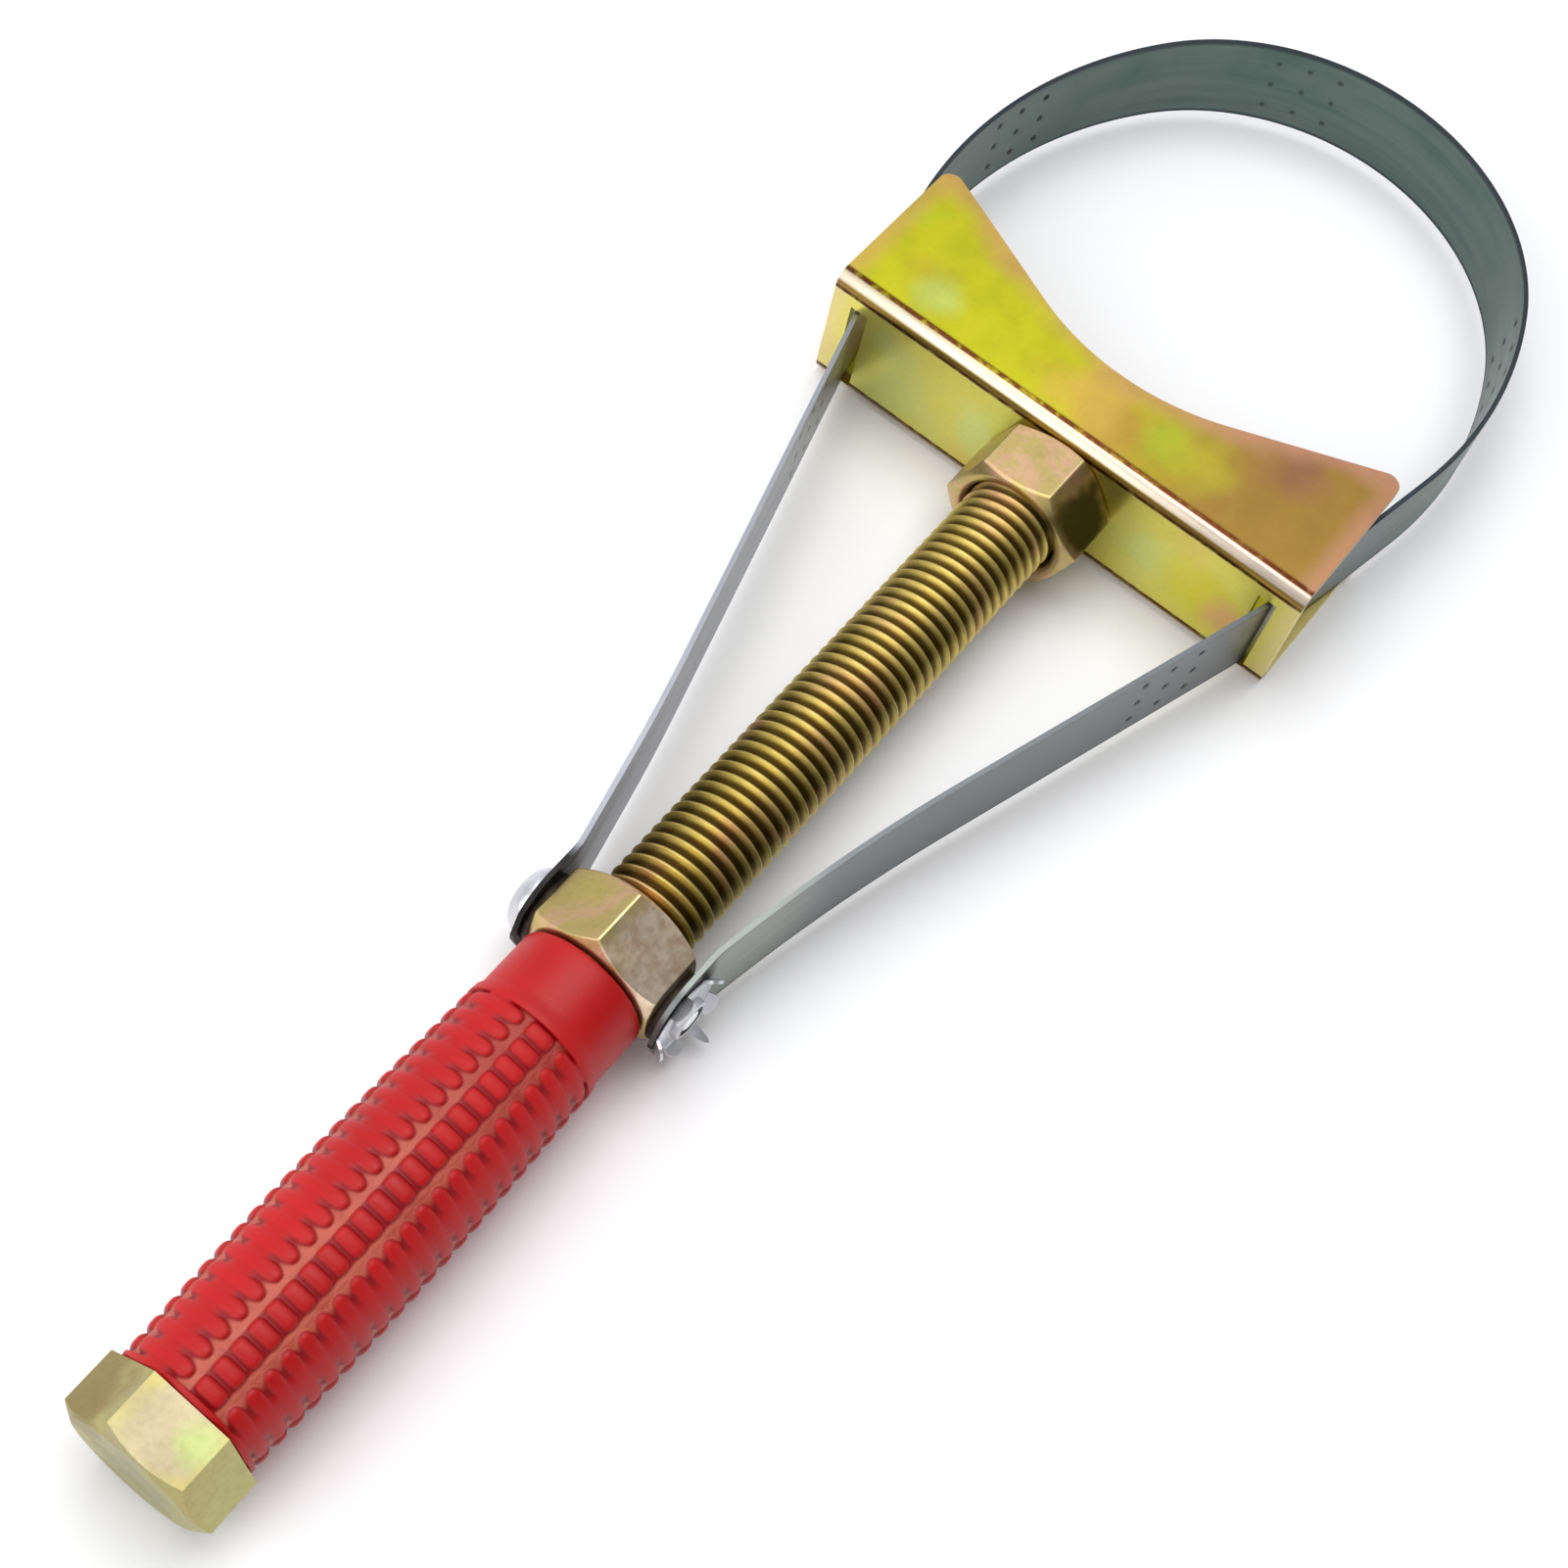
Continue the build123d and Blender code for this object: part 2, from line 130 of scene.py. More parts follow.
# where the skin is sampled: shares of a stud's pitch, and degrees off a row's middle
STUD_SAMPLES = (0.0, 0.05, 0.1, 0.15, 0.21, 0.3, 0.42, 0.58, 0.7, 0.79, 0.85, 0.9, 0.95)
ROW_SAMPLES = (0, 3, 6, 8, 9.2, 10.2, 11.1, 12, 12.6, 13.4, 14.4, 15.2, 16.0, 16.6)
ROW_SAMPLES += (17.3, 18.2, 19.3, 20.6, 22, 23.6, 25.2, 27, 29, 31, 33.5, 37, 41)

# ---- band ----------------------------------------------------------------------------------------
BAND_THICK = 0.8
BAND_EDGE_CORNER = 0.12
BAND_EDGE_BURR = 0.55  # share of the thickness that each cut edge reaches to either side
BAND_END_CORNER_R = 9.0
SLOT_Y = 45.0  # where the band's middle passes through the web
# the loop's and legs' plan; in a dictionary 1 is the left side and -1 the right
LOOP_TIP_CENTRE = Vector((68.9, -1.7))
LOOP_TIP_R = 49.9
LOOP_SIDE_R = {1: 87.0, -1: 80.5}
KNEE = {1: (-86.0, 20.6), -1: (-86.0, 19.0)}  # a leg's slight bend between nut and slot
KNEE_R = 380.0
TAB_BEND_R = 8.0
DIMPLE_PITCH = (6.4, 5.7)  # along and across the band
DIMPLE_R = 1.15
DIMPLE_DEPTH = 0.34
DIMPLE_INSIDE = 0.8  # share of that depth on the inside of the band
# dimple groups: lengths along the band from a slot, with the strength of the pressing, which also
# scales the painted shade in the dimples
GROUPS_FROM_LEFT_SLOT = ((65.8, 1.0), (130.7, 0.5))
GROUP_FROM_RIGHT_SLOT = 85.5
GROUP_BEHIND_SLOT = 21.5
FINE_STEP = 0.42  # between the band's profiles at a dimple group
COARSE_STEP = 1.6  # between them elsewhere

# ---- band fasteners ------------------------------------------------------------------------------
STEM_R = 2.9
STEM_START = 9.4  # distance from the bolt's axis
DOME_R = 6.0
DOME_SKIRT = 0.5  # height of the dome's straight foot
BUTTON_R = 3.8
BUTTON_RING_R = (1.9, 2.9)  # the dark ring between boss and rim
WASHER_THICK = 0.6
WASHER_BORE_R = 3.2
WASHER_R = 7.0
PETAL_THICK = 0.5
PETAL_COUNT = 5

# ---- places from the frame -----------------------------------------------------------------------
head_back = design_box("handle_bolt")[0].x
head_bearing = head_back + HEAD_HEIGHT
tip_end = design_box("handle_bolt")[1].x
grip_back, grip_front = design_box("grip_sleeve")[0].x, design_box("grip_sleeve")[1].x
stud_start = grip_back + 1.2
nut_back, nut_front = design_box("travelling_nut")[0].x, design_box("travelling_nut")[1].x
nut_middle = (nut_back + nut_front) / 2
socket_back = design_box("socket_hex")[0].x
band_low, band_high = design_box("band_loop")
band_z = (band_low.z + band_high.z) / 2
band_half = (band_high.z - band_low.z) / 2
slot_x = band_low.x
tab_end = design_box("band_leg_left")[0].x
tab_front = nut_middle + 8.2
tab_y = design_box("band_spacer_left")[1].y + BAND_THICK / 2
band_face = tab_y + BAND_THICK / 2  # the outer face of the band ends, from the bolt's axis


# ---- node helpers --------------------------------------------------------------------------------
class Shader:
    """A node material in the making: short calls that add a node and return its output."""

    def __init__(self, name):
        self.material = bpy.data.materials.new(name)
        self.material.use_nodes = True
        self.tree = self.material.node_tree
        self.bsdf = self.tree.nodes["Principled BSDF"]
        self.place = self.add("ShaderNodeTexCoord").outputs["Object"]
        self.split = None

    def add(self, kind, **inputs):
        """Adds a node; inputs are named as its sockets are, with underscores for spaces."""
        node = self.tree.nodes.new(kind)
        for name, value in inputs.items():
            self.put(node.inputs[name.replace("_", " ")], value)
        return node

    def put(self, socket, value):
        """Links another node's output to the socket, or sets a constant on it."""
        if isinstance(value, bpy.types.NodeSocket):
            self.tree.links.new(value, socket)
        else:
            socket.default_value = value

    def stretched(self, scale):
        """The surface point times a scale for each axis, for streaky noise."""
        mapping = self.add("ShaderNodeMapping", Vector=self.place)
        mapping.inputs["Scale"].default_value = scale
        return mapping.outputs["Vector"]

    def noise(self, scale, detail=3.0, roughness=0.55, vector=None, distortion=0.0):
        node = self.add("ShaderNodeTexNoise", Vector=vector or self.place, Scale=scale, Detail=detail)
        node.inputs["Roughness"].default_value = roughness
        node.inputs["Distortion"].default_value = distortion
        return node.outputs["Fac"]

    def math(self, operation, first, second=0.0):
        node = self.add("ShaderNodeMath")
        node.operation = operation
        self.put(node.inputs[0], first)
        self.put(node.inputs[1], second)
        return node.outputs["Value"]

    def times(self, product, *factors):
        """Product of two or more values."""
        for factor in factors:
            product = self.math("MULTIPLY", product, factor)
        return product

    def radius(self, first, second):
        """Length of the hypotenuse over two sides."""
        squares = self.math("ADD", self.times(first, first), self.times(second, second))
        return self.math("SQRT", squares)

    def spread(self, value, low, high, to_low=0.0, to_high=1.0):
        """Value from low..high turned smoothly into to_low..to_high."""
        node = self.add("ShaderNodeMapRange", Value=value)
        node.interpolation_type = "SMOOTHSTEP"
        ends = {"From Min": low, "From Max": high, "To Min": to_low, "To Max": to_high}
        for key, number in ends.items():
            node.inputs[key].default_value = number
        return node.outputs["Result"]

    def ramp(self, value, stops):
        """Colour for a value from pairs, a place between 0 and 1 and its colour."""
        node = self.add("ShaderNodeValToRGB", Fac=value)
        elements = node.color_ramp.elements
        while len(elements) < len(stops):
            elements.new(0.5)
        for element, (at, color) in zip(elements, stops):
            element.position = at
            element.color = (*color, 1)
        return node.outputs["Color"]

    def mix(self, share, under, over, blend="MIX"):
        """One colour laid over another by a share."""
        node = self.add("ShaderNodeMix")
        node.data_type = "RGBA"
        node.blend_type = blend
        self.put(node.inputs[0], share)
        self.put(node.inputs[6], (*under, 1) if isinstance(under, tuple) else under)
        self.put(node.inputs[7], (*over, 1) if isinstance(over, tuple) else over)
        return node.outputs[2]

    def along(self, axis, start=0.0):
        """Millimetres along a design axis, from start to the surface point."""
        if self.split is None:
            self.split = self.add("ShaderNodeSeparateXYZ", Vector=self.place)
        millimetres = self.math("DIVIDE", self.split.outputs[axis], MM)
        return self.math("SUBTRACT", millimetres, ZERO["XYZ".index(axis)] / MM + start)

    def near(self, point, radius, soft=0.6, wobble=None):
        """1 round a point of the design axes, fading to 0 at radius; wobble frays the border."""
        distance = self.add("ShaderNodeVectorMath")
        distance.operation = "DISTANCE"
        self.put(distance.inputs[0], self.place)
        distance.inputs[1].default_value = TO_ROW @ Vector(point)
        away = self.math("DIVIDE", distance.outputs["Value"], MM)
        if wobble is not None:
            away = self.math("ADD", away, self.spread(wobble, 0, 1, -radius / 2, radius / 2))
        return self.spread(away, radius * (1 - soft), radius, 1, 0)

    def attribute(self, name):
        node = self.add("ShaderNodeAttribute")
        node.attribute_name = name
        return node.outputs["Fac"]

    def edges(self, low, high):
        """1 on convex edges, from the mesh's pointiness."""
        return self.spread(self.add("ShaderNodeNewGeometry").outputs["Pointiness"], low, high)

    def bump(self, height, strength, distance):
        node = self.add("ShaderNodeBump", Strength=strength, Distance=distance, Height=height)
        self.put(self.bsdf.inputs["Normal"], node.outputs["Normal"])

    def finish(self, color, roughness, metallic=0.0):
        """Links the surface's colour, roughness and metallic share, and gives the material."""
        self.put(self.bsdf.inputs["Base Color"], color)
        self.put(self.bsdf.inputs["Roughness"], roughness)
        self.put(self.bsdf.inputs["Metallic"], metallic)
        return self.material


# ---- materials -----------------------------------------------------------------------------------
def paint(*levels):
    """A screen colour, levels 0 to 255, as the linear colour that shaders use."""
    shares = [level / 255 for level in levels]
    return tuple(((c + 0.055) / 1.055) ** 2.4 if c > 0.04 else c / 12.92 for c in shares)


YELLOW = paint(208, 198, 48)
LIME = paint(184, 200, 56)
GOLD = paint(204, 168, 74)
ROSE = paint(218, 162, 120)
PALE_GREEN = paint(205, 214, 132)
CREAM = paint(252, 244, 205)
BROWN = paint(120, 92, 60)
RUST = paint(166, 124, 62)


def plated(shader, color, roughness, grain, edge_wear_and_highlight=0.0):
    """Finishes passivated zinc: fine grain, dull spots, and convex edges painted pale by the last
    share, partly as edge wear and partly as a painted highlight.
    Roughness stays above 0.28, under which the denoiser draws false contours."""
    speckle = shader.noise(900, 1, 0.5)
    blotch = shader.noise(150, 2, 0.5)
    color = shader.mix(shader.spread(speckle, 0.40, 0.75, 0, grain), color, BROWN, "MULTIPLY")
    if edge_wear_and_highlight:
        # pale convex edges: partly edge wear, partly a painted highlight
        color = shader.mix(shader.times(shader.edges(0.52, 0.60), edge_wear_and_highlight), color, CREAM)
    rough = shader.math("ADD", shader.spread(blotch, 0.3, 0.7, -0.03, 0.05), roughness)
    return shader.finish(color, rough, metallic=0.92)


def jaw_distance(shader):
    """Millimetres from a point of the flange to the jaw's edge, along X: nearly a hyperbola."""
    rise, flare, waist = 11.6, 0.437, 6.0
    edge = shader.math("ADD", shader.radius(shader.times(shader.along("Y"), flare), waist), rise)
    return shader.math("SUBTRACT", edge, shader.along("X"))


def bends_with_painted_light(shader, color):
    """The saddle's bends, painted with light and shade: a broken dark line where each starts, a
    painted reflection; a pale band on the bend, a painted highlight; painted shade on the web under
    it, with a darker painted shadow line at its foot.
    """
    behind = shader.along("X")
    above = shader.math("SUBTRACT", shader.math("ABSOLUTE", shader.along("Z")), 11.0)
    broken = shader.spread(shader.noise(420, 3, 0.6), 0.30, 0.55, 0.55, 1)
    # painted highlight: the outer part of each bend made pale
    bend_highlight = shader.times(shader.spread(above, 1.3, 1.8), shader.spread(behind, 2.2, 1.7))
    # painted reflection: a broken dark line where each bend leaves the flange
    line = shader.times(shader.spread(behind, 1.7, 2.2), shader.spread(behind, 3.4, 2.7))
    line = shader.times(line, shader.spread(above, 2.4, 2.7), broken)
    # painted shade on the web just under each bend
    shaded = shader.times(shader.spread(above, -0.2, 0.4), shader.spread(above, 1.9, 1.4))
    shaded = shader.times(shaded, shader.spread(behind, 3.0, 2.0), 0.85)
    # painted shadow: a broken dark line at the foot of that shade
    shadow_line = shader.times(shader.spread(above, -0.4, 0.0), shader.spread(above, 0.8, 0.4), broken)
    color = shader.mix(shaded, color, paint(128, 92, 34))
    color = shader.mix(shadow_line, color, paint(70, 30, 16))
    color = shader.mix(line, color, paint(88, 44, 20))
    return shader.mix(shader.times(bend_highlight, 0.85), color, paint(236, 220, 202))


def saddle_zinc():
    """Folded sheet: yellow with lime and gold clouds, rosy at its cut edges, rusty to the right."""
    s = Shader("yellow_zinc")
    cloud = s.noise(42, 1.5, 0.45)
    color = s.ramp(cloud, [(0.34, GOLD), (0.46, YELLOW), (0.60, YELLOW), (0.72, LIME)])
    wobble = s.noise(90, 1.5, 0.4)
    right = s.spread(s.along("Y"), 10, -34)
    on_flange = s.spread(s.along("Z"), 11.5, 13.5)
    color = s.mix(s.times(right, on_flange, 0.8), color, RUST)
    color = s.mix(s.spread(s.along("X"), 1.2, 0.4, 0, 0.4), color, paint(238, 228, 142))
    top, web = 14, 0
    for point, radius, tint in (
        ((8, 33, top), 8, PALE_GREEN),
        ((12, -14, top), 8, LIME),
        ((20, 38, top), 9, YELLOW),
        ((web, 34, -3), 15, PALE_GREEN),
        ((web, 16, 0), 8, PALE_GREEN),
        ((web, -20, -2), 11, PALE_GREEN),
        ((web, -33, -2), 11, YELLOW),
        ((web, -40, -4), 7, ROSE),
        ((10, 2, top), 10, paint(224, 178, 96)),
        ((24, -36, top), 9, paint(168, 116, 84)),
        ((13, -21, top), 8, paint(200, 190, 56)),
    ):
        color = s.mix(s.times(s.near(point, radius, 0.9, wobble), 0.75), color, tint)
    inside = s.math("ADD", jaw_distance(s), s.spread(wobble, 0, 1, -2.5, 2.5))
    color = s.mix(s.spread(inside, 6.0, -0.5, 0, 0.75), color, ROSE)
    ends = s.spread(s.math("ABSOLUTE", s.along("Y")), 45.5, 50.0, 0, 0.6)
    color = s.mix(s.times(ends, on_flange), color, ROSE)
    color = s.mix(s.times(ends, s.math("SUBTRACT", 1, on_flange)), color, paint(222, 200, 150))
    dulled = s.mix(right, (0.80, 0.86, 0.60), (0.70, 0.66, 0.85))
    color = s.mix(on_flange, color, dulled, "MULTIPLY")
    return plated(s, bends_with_painted_light(s, color), 0.33, 0.04)


def nut_zinc():
    """Duller plate of the nut and the welded hexagon: tan and rose, mottled on one face, with painted
    shade on the hexagon's -Y face and convex edges painted pale, partly as wear and partly as a
    painted highlight.
    """
    s = Shader("nut_zinc")
    cloud = s.noise(85, 3, 0.55, distortion=0.8)
    stops = [(0.32, paint(196, 172, 118)), (0.48, paint(198, 178, 110)), (0.60, paint(216, 176, 140))]
    color = s.ramp(cloud, stops + [(0.74, paint(192, 180, 98))])
    wobble = s.noise(120, 2, 0.5)
    color = s.mix(s.near((nut_middle + 2, 8, 10), 6, 0.8, wobble), color, paint(198, 180, 106))
    mottled = s.ramp(s.noise(420, 3, 0.6), [(0.35, paint(226, 198, 164)), (0.6, paint(255, 236, 210))])
    color = s.mix(s.near((nut_middle, -8, 11), 11, 0.5, wobble), color, mottled)
    # painted shade: the welded hexagon's -Y face darkened to dark olive
    color = s.mix(s.near((socket_back / 2, -10, 6), 8, 0.5, wobble), color, paint(104, 92, 50))
    return plated(s, color, 0.34, 0.10, edge_wear_and_highlight=0.9)


def bolt_zinc():
    """Brassy thread with its roots painted dark as shade, and a pale head with a lime corner and
    painted shade on its +Y face.
    """
    s = Shader("bolt_zinc")
    cloud = s.noise(90, 3, 0.5, distortion=0.5)
    stops = [(0.30, paint(204, 182, 92)), (0.50, paint(222, 200, 112)), (0.70, paint(222, 172, 124))]
    brassy = s.ramp(cloud, stops)
    # painted shade: the thread's roots darkened
    root = s.spread(s.radius(s.along("Y"), s.along("Z")), THREAD_CREST_R - 0.1, THREAD_ROOT_R + 0.5)
    brassy = s.mix(s.times(root, 0.9), brassy, paint(82, 60, 20))
    wobble = s.noise(120, 2, 0.5)
    stops = [(0.33, paint(170, 156, 100)), (0.55, paint(176, 171, 112))]
    pale = s.ramp(s.noise(70, 2, 0.5, distortion=0.4), stops)
    # the first tint is painted shade on the head's +Y face
    for place, radius, soft, tint in (
        ((5, 12, 5), 11, 0.4, paint(147, 131, 76)),
        ((5, -2, 12.5), 9, 0.5, paint(170, 158, 127)),
        ((7, -7, 11.5), 4.5, 0.9, paint(168, 178, 114)),
        ((0, 0, 0), 9, 0.6, paint(158, 152, 108)),
    ):
        point = (head_back + place[0], place[1], place[2])
        pale = s.mix(s.near(point, radius, soft, wobble), pale, tint)
    head = s.spread(s.along("X", head_bearing), 1, 0)
    return plated(s, s.mix(head, brassy, pale), 0.38, 0.10)


def red_grip():
    """Soft moulded PVC: deep red studs, painted darker between them as shade, dusty along the rows and
    ribs.
    """
    s = Shader("red_grip")
    cloud = s.noise(55, 3, 0.5)
    red = s.ramp(cloud, [(0.30, paint(170, 6, 9)), (0.70, paint(188, 11, 14))])
    # painted shade: darker red where the relief is low, between studs and teeth
    red = s.mix(s.spread(s.attribute("relief"), 0.85, 0.25, 0, 0.75), red, paint(124, 2, 6))
    rearwards = s.spread(s.along("X"), grip_front, grip_back + 30, 0.3, 1)
    patch = s.spread(s.noise(260, 3, 0.6), 0.25, 0.6, 0.55, 1)
    dust = s.times(s.attribute("dust"), rearwards, patch, 0.85)
    s.bump(s.noise(1500, 3, 0.6), 0.15, 0.0002)
    s.bsdf.inputs["Specular IOR Level"].default_value = 0.35
    return s.finish(s.mix(dust, red, paint(196, 98, 78)), s.spread(cloud, 0.3, 0.7, 0.42, 0.55))


def band_steel():
    """Blued spring steel: grey legs, the left one paler, a greener loop, painted black as shade under
    the screws and painted dark as shade in the dimples.
    """
    s = Shader("band_steel")
    streak = s.noise(30, 4, 0.6, vector=s.stretched((1, 1, 14)))
    cloud = s.noise(45, 3, 0.6)
    legs = s.ramp(streak, [(0.30, paint(104, 107, 108)), (0.70, paint(130, 134, 136))])
    legs = s.mix(s.near((nut_middle + 12, -18, 0), 26, 0.8), legs, paint(150, 156, 148))
    legs = s.mix(s.spread(s.along("Y"), 10, 15, 0, 0.9), legs, paint(162, 164, 172))
    loop = s.ramp(streak, [(0.30, paint(84, 102, 96)), (0.70, paint(106, 120, 114))])
    loop = s.mix(s.spread(cloud, 0.45, 0.75, 0, 0.6), loop, paint(66, 92, 80))
    ahead = s.along("X")
    color = s.mix(s.spread(ahead, -5, 45), legs, loop)
    dark_edge = s.times(s.attribute("rim"), s.spread(ahead, -20, 30, 0.25, 0.9))
    color = s.mix(dark_edge, color, paint(50, 56, 62))
    # painted shade: the dimples darkened by their depth
    color = s.mix(s.spread(s.attribute("pit"), 0.1, 0.7, 0, 0.9), color, paint(26, 26, 26))
    # painted shade: the band ends black under the screws
    color = s.mix(s.times(s.attribute("soot"), 0.95), color, paint(24, 20, 16))
    s.bump(s.noise(900, 3, 0.6, vector=s.stretched((1, 1, 5))), 0.10, 0.0002)
    return s.finish(color, s.spread(streak, 0.3, 0.7, 0.34, 0.46), metallic=0.9)


def silver_zinc():
    """Bright zinc plate of the small fasteners; in the right screw's head the ring groove is painted
    dark as shade and the boss painted white as a highlight.
    """
    s = Shader("silver_zinc")
    cloud = s.noise(260, 1, 0.5)
    color = s.ramp(cloud, [(0.3, paint(188, 188, 192)), (0.7, paint(222, 223, 226))])
    radius = s.radius(s.along("X", nut_middle), s.along("Z", band_z))
    on_head = s.spread(s.along("Y"), -13.5, -14.5)
    boss_r, rim_r = BUTTON_RING_R
    past_boss = s.spread(radius, boss_r - 0.1, boss_r + 0.1)
    before_rim = s.spread(radius, rim_r + 0.1, rim_r - 0.1)
    # painted shade: the ring groove between boss and rim made dark
    color = s.mix(s.times(past_boss, before_rim, on_head), color, paint(52, 52, 54))
    # painted highlight: the boss made white
    on_boss = s.times(s.spread(radius, boss_r + 0.1, boss_r - 0.1), on_head)
    color = s.mix(on_boss, color, paint(255, 255, 255))
    return s.finish(color, s.spread(cloud, 0.3, 0.7, 0.29, 0.38), metallic=0.75)


def spring_steel():
    """Dark phosphated steel."""
    s = Shader("spring_steel")
    cloud = s.noise(500, 3, 0.6)
    color = s.ramp(cloud, [(0.3, paint(44, 36, 30)), (0.7, paint(78, 68, 58))])
    s.bump(cloud, 0.15, 0.0002)
    return s.finish(color, s.spread(cloud, 0.3, 0.7, 0.4, 0.6), metallic=0.7)


MATERIALS = {
    "yellow_zinc": saddle_zinc(),
    "nut_zinc": nut_zinc(),
    "bolt_zinc": bolt_zinc(),
    "red_grip": red_grip(),
    "band_steel": band_steel(),
    "silver_zinc": silver_zinc(),
    "spring_steel": spring_steel(),
}


# ---- mesh helpers --------------------------------------------------------------------------------
def mesh_piece(name, verts, faces, slot, sharp_deg=35, attributes=None):
    """A shown piece from points in the design axes, with clean normals, its slot and material."""
    mesh = bpy.data.meshes.new(name)
    mesh.from_pydata([TO_ROW @ Vector(v) for v in verts], [], faces)
    for key, values in (attributes or {}).items():
        mesh.attributes.new(key, "FLOAT", "POINT").data.foreach_set("value", values)
    shape = bmesh.new()
    shape.from_mesh(mesh)
    bmesh.ops.remove_doubles(shape, verts=shape.verts, dist=0.002 * MM)
    bmesh.ops.dissolve_degenerate(shape, edges=shape.edges, dist=0.001 * MM)
    bmesh.ops.recalc_face_normals(shape, faces=shape.faces)
    shape.to_mesh(mesh)
    shape.free()
    mesh.shade_smooth()
    mesh.set_sharp_from_angle(angle=math.radians(sharp_deg))
    piece = bpy.data.objects.new(name, mesh)
    bpy.context.scene.collection.objects.link(piece)
    mesh.materials.append(MATERIALS[slot])
    return piece


def bevel(piece, width, segments=2, angle_deg=30):
    """Small rounded edges on a hard-edged piece."""
    modifier = piece.modifiers.new("edges", "BEVEL")
    modifier.width = width * MM
    modifier.segments = segments
    modifier.limit_method = "ANGLE"
    modifier.angle_limit = math.radians(angle_deg)
    modifier.harden_normals = True


def rings(profiles):
    """Verts and faces that join a closed circle of equal closed profiles, each a list of points."""
    count, size = len(profiles), len(profiles[0])
    verts = [point for profile in profiles for point in profile]
    faces = []
    for k in range(count):
        for j in range(size):
            here, ahead = k * size, (k + 1) % count * size
            faces.append((here + j, here + (j + 1) % size, ahead + (j + 1) % size, ahead + j))
    return verts, faces


def tube(profiles):
    """Verts and faces that join a row of equal closed profiles, with a cap at both ends."""
    size = len(profiles[0])
    verts = [point for profile in profiles for point in profile]
    faces = []
    for k in range(len(profiles) - 1):
        for j in range(size):
            a, b = k * size + j, k * size + (j + 1) % size
            faces.append((a, b, b + size, a + size))
    faces.append(tuple(range(size)))
    faces.append(tuple(range(len(verts) - size, len(verts))))
    return verts, faces


def around_x(x, radius, angle):
    """The point at x, a radius away from the bolt's axis, turned by angle from the Y direction."""
    return (x, radius * math.cos(angle), radius * math.sin(angle))


def lathe_x(outline, steps=96):
    """A closed outline of (x, radius) turned about the bolt's axis."""
    angles = [2 * math.pi * k / steps for k in range(steps)]
    return rings([[around_x(x, r, a) for x, r in outline] for a in angles])


def joined(*shapes):
    """Several (verts, faces) in one mesh."""
    verts, faces = [], []
    for more_verts, more_faces in shapes:
        start = len(verts)
        verts += more_verts
        faces += [tuple(i + start for i in face) for face in more_faces]
    return verts, faces


def smooth(value):
    """Value held to 0..1 and eased in and out."""
    value = min(max(value, 0.0), 1.0)
    return value * value * (3 - 2 * value)


# ---- handle --------------------------------------------------------------------------------------
def hexagon(low, high, corner_deg, bore_r=0, chamfer_high=True):
    """A hexagon nut or head along X with round chamfers, and a bore unless bore_r is 0."""
    face_r = HEX_AF / 2 * HEX_FACE_SHARE
    profiles = []
    for k in range(6 * SIDE_STEPS):
        degrees = corner_deg + k * 60 / SIDE_STEPS
        off_flat = math.radians(k * 60 / SIDE_STEPS % 60 - 30)
        wall_r = HEX_AF / 2 / math.cos(off_flat)
        drop = (wall_r - face_r) * HEX_CHAMFER
        if bore_r:
            first = [(low + BORE_MOUTH, bore_r), (low, bore_r + BORE_MOUTH)]
            last = [(high, bore_r + BORE_MOUTH), (high - BORE_MOUTH, bore_r)]
        else:
            first = [(low, 0), (low, face_r / 2)]
            last = [(high, face_r / 2), (high, 0)]
        outline = first + [(low, face_r), (low + drop, wall_r)]
        outline += [(high - drop, wall_r), (high, face_r)] if chamfer_high else [(high, wall_r)]
        outline += last
        profiles.append([around_x(x, r, math.radians(degrees)) for x, r in outline])
    return rings(profiles)


def thread(low, high):
    """A right-hand helical thread with flat ends, as a closed body."""
    depth = THREAD_CREST_R - THREAD_ROOT_R
    profile = [(p * THREAD_PITCH, THREAD_ROOT_R + d * depth) for p, d in THREAD_PROFILE]
    size = len(profile)
    turns = math.ceil((high - low) / THREAD_PITCH) + 2
    verts, faces = [], []
    for k in range(turns * TURN_STEPS + 1):
        angle = 2 * math.pi * k / TURN_STEPS
        x = low + THREAD_PITCH * (k / TURN_STEPS - 1.5)
        verts += [around_x(x + dx, r, angle) for dx, r in profile]
    for k in range(turns * TURN_STEPS):
        for j in range(size - 1):
            a = k * size + j
            faces.append((a, a + 1, a + size + 1, a + size))
        ahead = k + TURN_STEPS
        if ahead < turns * TURN_STEPS:
            a, b = k * size + size - 1, ahead * size
            faces.append((a, b, b + size, a + size))
    body = bmesh.new()
    for v in verts:
        body.verts.new(v)
    body.verts.ensure_lookup_table()
    for face in faces:
        body.faces.new([body.verts[i] for i in face])
    for x, keep in ((low, 1), (high, -1)):
        geometry = body.verts[:] + body.edges[:] + body.faces[:]
        bmesh.ops.bisect_plane(
            body, geom=geometry, plane_co=(x, 0, 0), plane_no=(-keep, 0, 0), clear_outer=True
        )
    bmesh.ops.holes_fill(body, edges=[e for e in body.edges if e.is_boundary])
    body.verts.index_update()
    verts = [tuple(v.co) for v in body.verts]
    faces = [tuple(v.index for v in f.verts) for f in body.faces]
    body.free()
    return verts, faces


